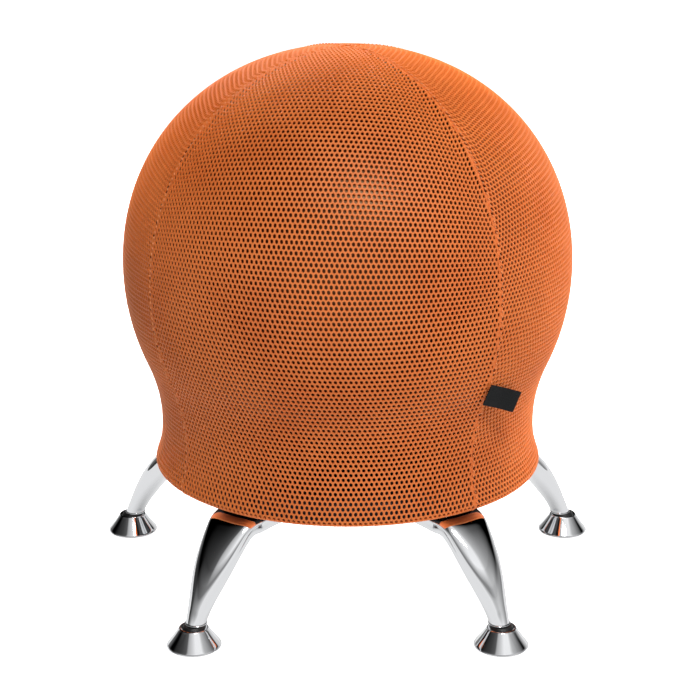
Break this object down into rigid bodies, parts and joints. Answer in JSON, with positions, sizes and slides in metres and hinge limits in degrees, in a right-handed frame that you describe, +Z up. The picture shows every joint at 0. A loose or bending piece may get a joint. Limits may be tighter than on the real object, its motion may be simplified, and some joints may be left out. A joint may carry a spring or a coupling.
{
  "type": "balance ball chair",
  "caption": "Balance ball chair: an exercise ball in a fitted mesh cover, seated in a round tray on curved chromed tube legs that stand on tilting cone glides.",
  "frame": {"origin": "on the floor, under the middle of the chair's bounds", "axes": "+Z up, the front faces -Y, +X to the viewer's right"},
  "size_m": [0.567, 0.542, 0.584],
  "materials": {
    "cover_mesh": "knitted mesh, matt orange",
    "label_ribbon": "woven ribbon, near black, bare",
    "hem_elastic": "braided elastic, dark",
    "ball_vinyl": "smooth vinyl, dark brown, slight sheen",
    "valve_plastic": "moulded, dark",
    "tray_plastic": "moulded, black, fine grain",
    "plate_paint": "powder coated, black",
    "leg_chrome": "bright chrome plating on steel tube",
    "plug_chrome": "bright plated lip",
    "cup_chrome": "bright plating",
    "fastener_steel": "zinc plated",
    "knuckle_plastic": "moulded nylon, black",
    "pad_plastic": "moulded nylon, dark grey, slightly worn"
  },
  "bodies": {
    "chair": {"mesh_cover": "cover_mesh", "hem_elastic": "hem_elastic", "exercise_ball": "ball_vinyl", "ball_tray": "tray_plastic", "leg_ring_plate": "plate_paint", "side_label": "label_ribbon", "tray_screw_1": "fastener_steel", "tray_screw_2": "fastener_steel", "tray_screw_3": "fastener_steel", "tray_screw_4": "fastener_steel", "tray_screw_5": "fastener_steel", "leg_front_right": "leg_chrome", "leg_bolt_front_right_inner": "fastener_steel", "leg_bolt_front_right_outer": "fastener_steel", "leg_plug_front_right": "plug_chrome", "glide_knuckle_front_right": "knuckle_plastic", "glide_bolt_front_right": "fastener_steel", "leg_right": "leg_chrome", "leg_bolt_right_inner": "fastener_steel", "leg_bolt_right_outer": "fastener_steel", "leg_plug_right": "plug_chrome", "glide_knuckle_right": "knuckle_plastic", "glide_bolt_right": "fastener_steel", "leg_rear": "leg_chrome", "leg_bolt_rear_inner": "fastener_steel", "leg_bolt_rear_outer": "fastener_steel", "leg_plug_rear": "plug_chrome", "glide_knuckle_rear": "knuckle_plastic", "glide_bolt_rear": "fastener_steel", "leg_left": "leg_chrome", "leg_bolt_left_inner": "fastener_steel", "leg_bolt_left_outer": "fastener_steel", "leg_plug_left": "plug_chrome", "glide_knuckle_left": "knuckle_plastic", "glide_bolt_left": "fastener_steel", "leg_front_left": "leg_chrome", "leg_bolt_front_left_inner": "fastener_steel", "leg_bolt_front_left_outer": "fastener_steel", "leg_plug_front_left": "plug_chrome", "glide_knuckle_front_left": "knuckle_plastic", "glide_bolt_front_left": "fastener_steel"},
    "glide_front_right": {"glide_cup_front_right": "cup_chrome", "glide_pad_front_right": "pad_plastic"},
    "glide_right": {"glide_cup_right": "cup_chrome", "glide_pad_right": "pad_plastic"},
    "glide_rear": {"glide_cup_rear": "cup_chrome", "glide_pad_rear": "pad_plastic"},
    "glide_left": {"glide_cup_left": "cup_chrome", "glide_pad_left": "pad_plastic"},
    "glide_front_left": {"glide_cup_front_left": "cup_chrome", "glide_pad_front_left": "pad_plastic"},
    "valve": {"valve_plug": "valve_plastic"}
  },
  "joints": [
    {"name": "glide_tilt_front_right", "type": "hinge", "parent": "chair", "child": "glide_front_right", "pos_m": [0.1577, -0.24268, 0.014], "axis": [0.809, 0.5878, 0], "range_deg": [-8, 8]},
    {"name": "glide_tilt_right", "type": "hinge", "parent": "chair", "child": "glide_right", "pos_m": [0.25517, 0.05729, 0.014], "axis": [-0.309, 0.9511, 0], "range_deg": [-8, 8]},
    {"name": "glide_tilt_rear", "type": "hinge", "parent": "chair", "child": "glide_rear", "pos_m": [0, 0.24268, 0.014], "axis": [-1, 0, 0], "range_deg": [-8, 8]},
    {"name": "glide_tilt_left", "type": "hinge", "parent": "chair", "child": "glide_left", "pos_m": [-0.25517, 0.05729, 0.014], "axis": [-0.309, -0.9511, 0], "range_deg": [-8, 8]},
    {"name": "glide_tilt_front_left", "type": "hinge", "parent": "chair", "child": "glide_front_left", "pos_m": [-0.1577, -0.24268, 0.014], "axis": [0.809, -0.5878, 0], "range_deg": [-8, 8]},
    {"name": "valve_plug_pull", "type": "slide", "parent": "chair", "child": "valve", "axis": [0, 0, -1], "range_m": [0, 0.014]}
  ]
}
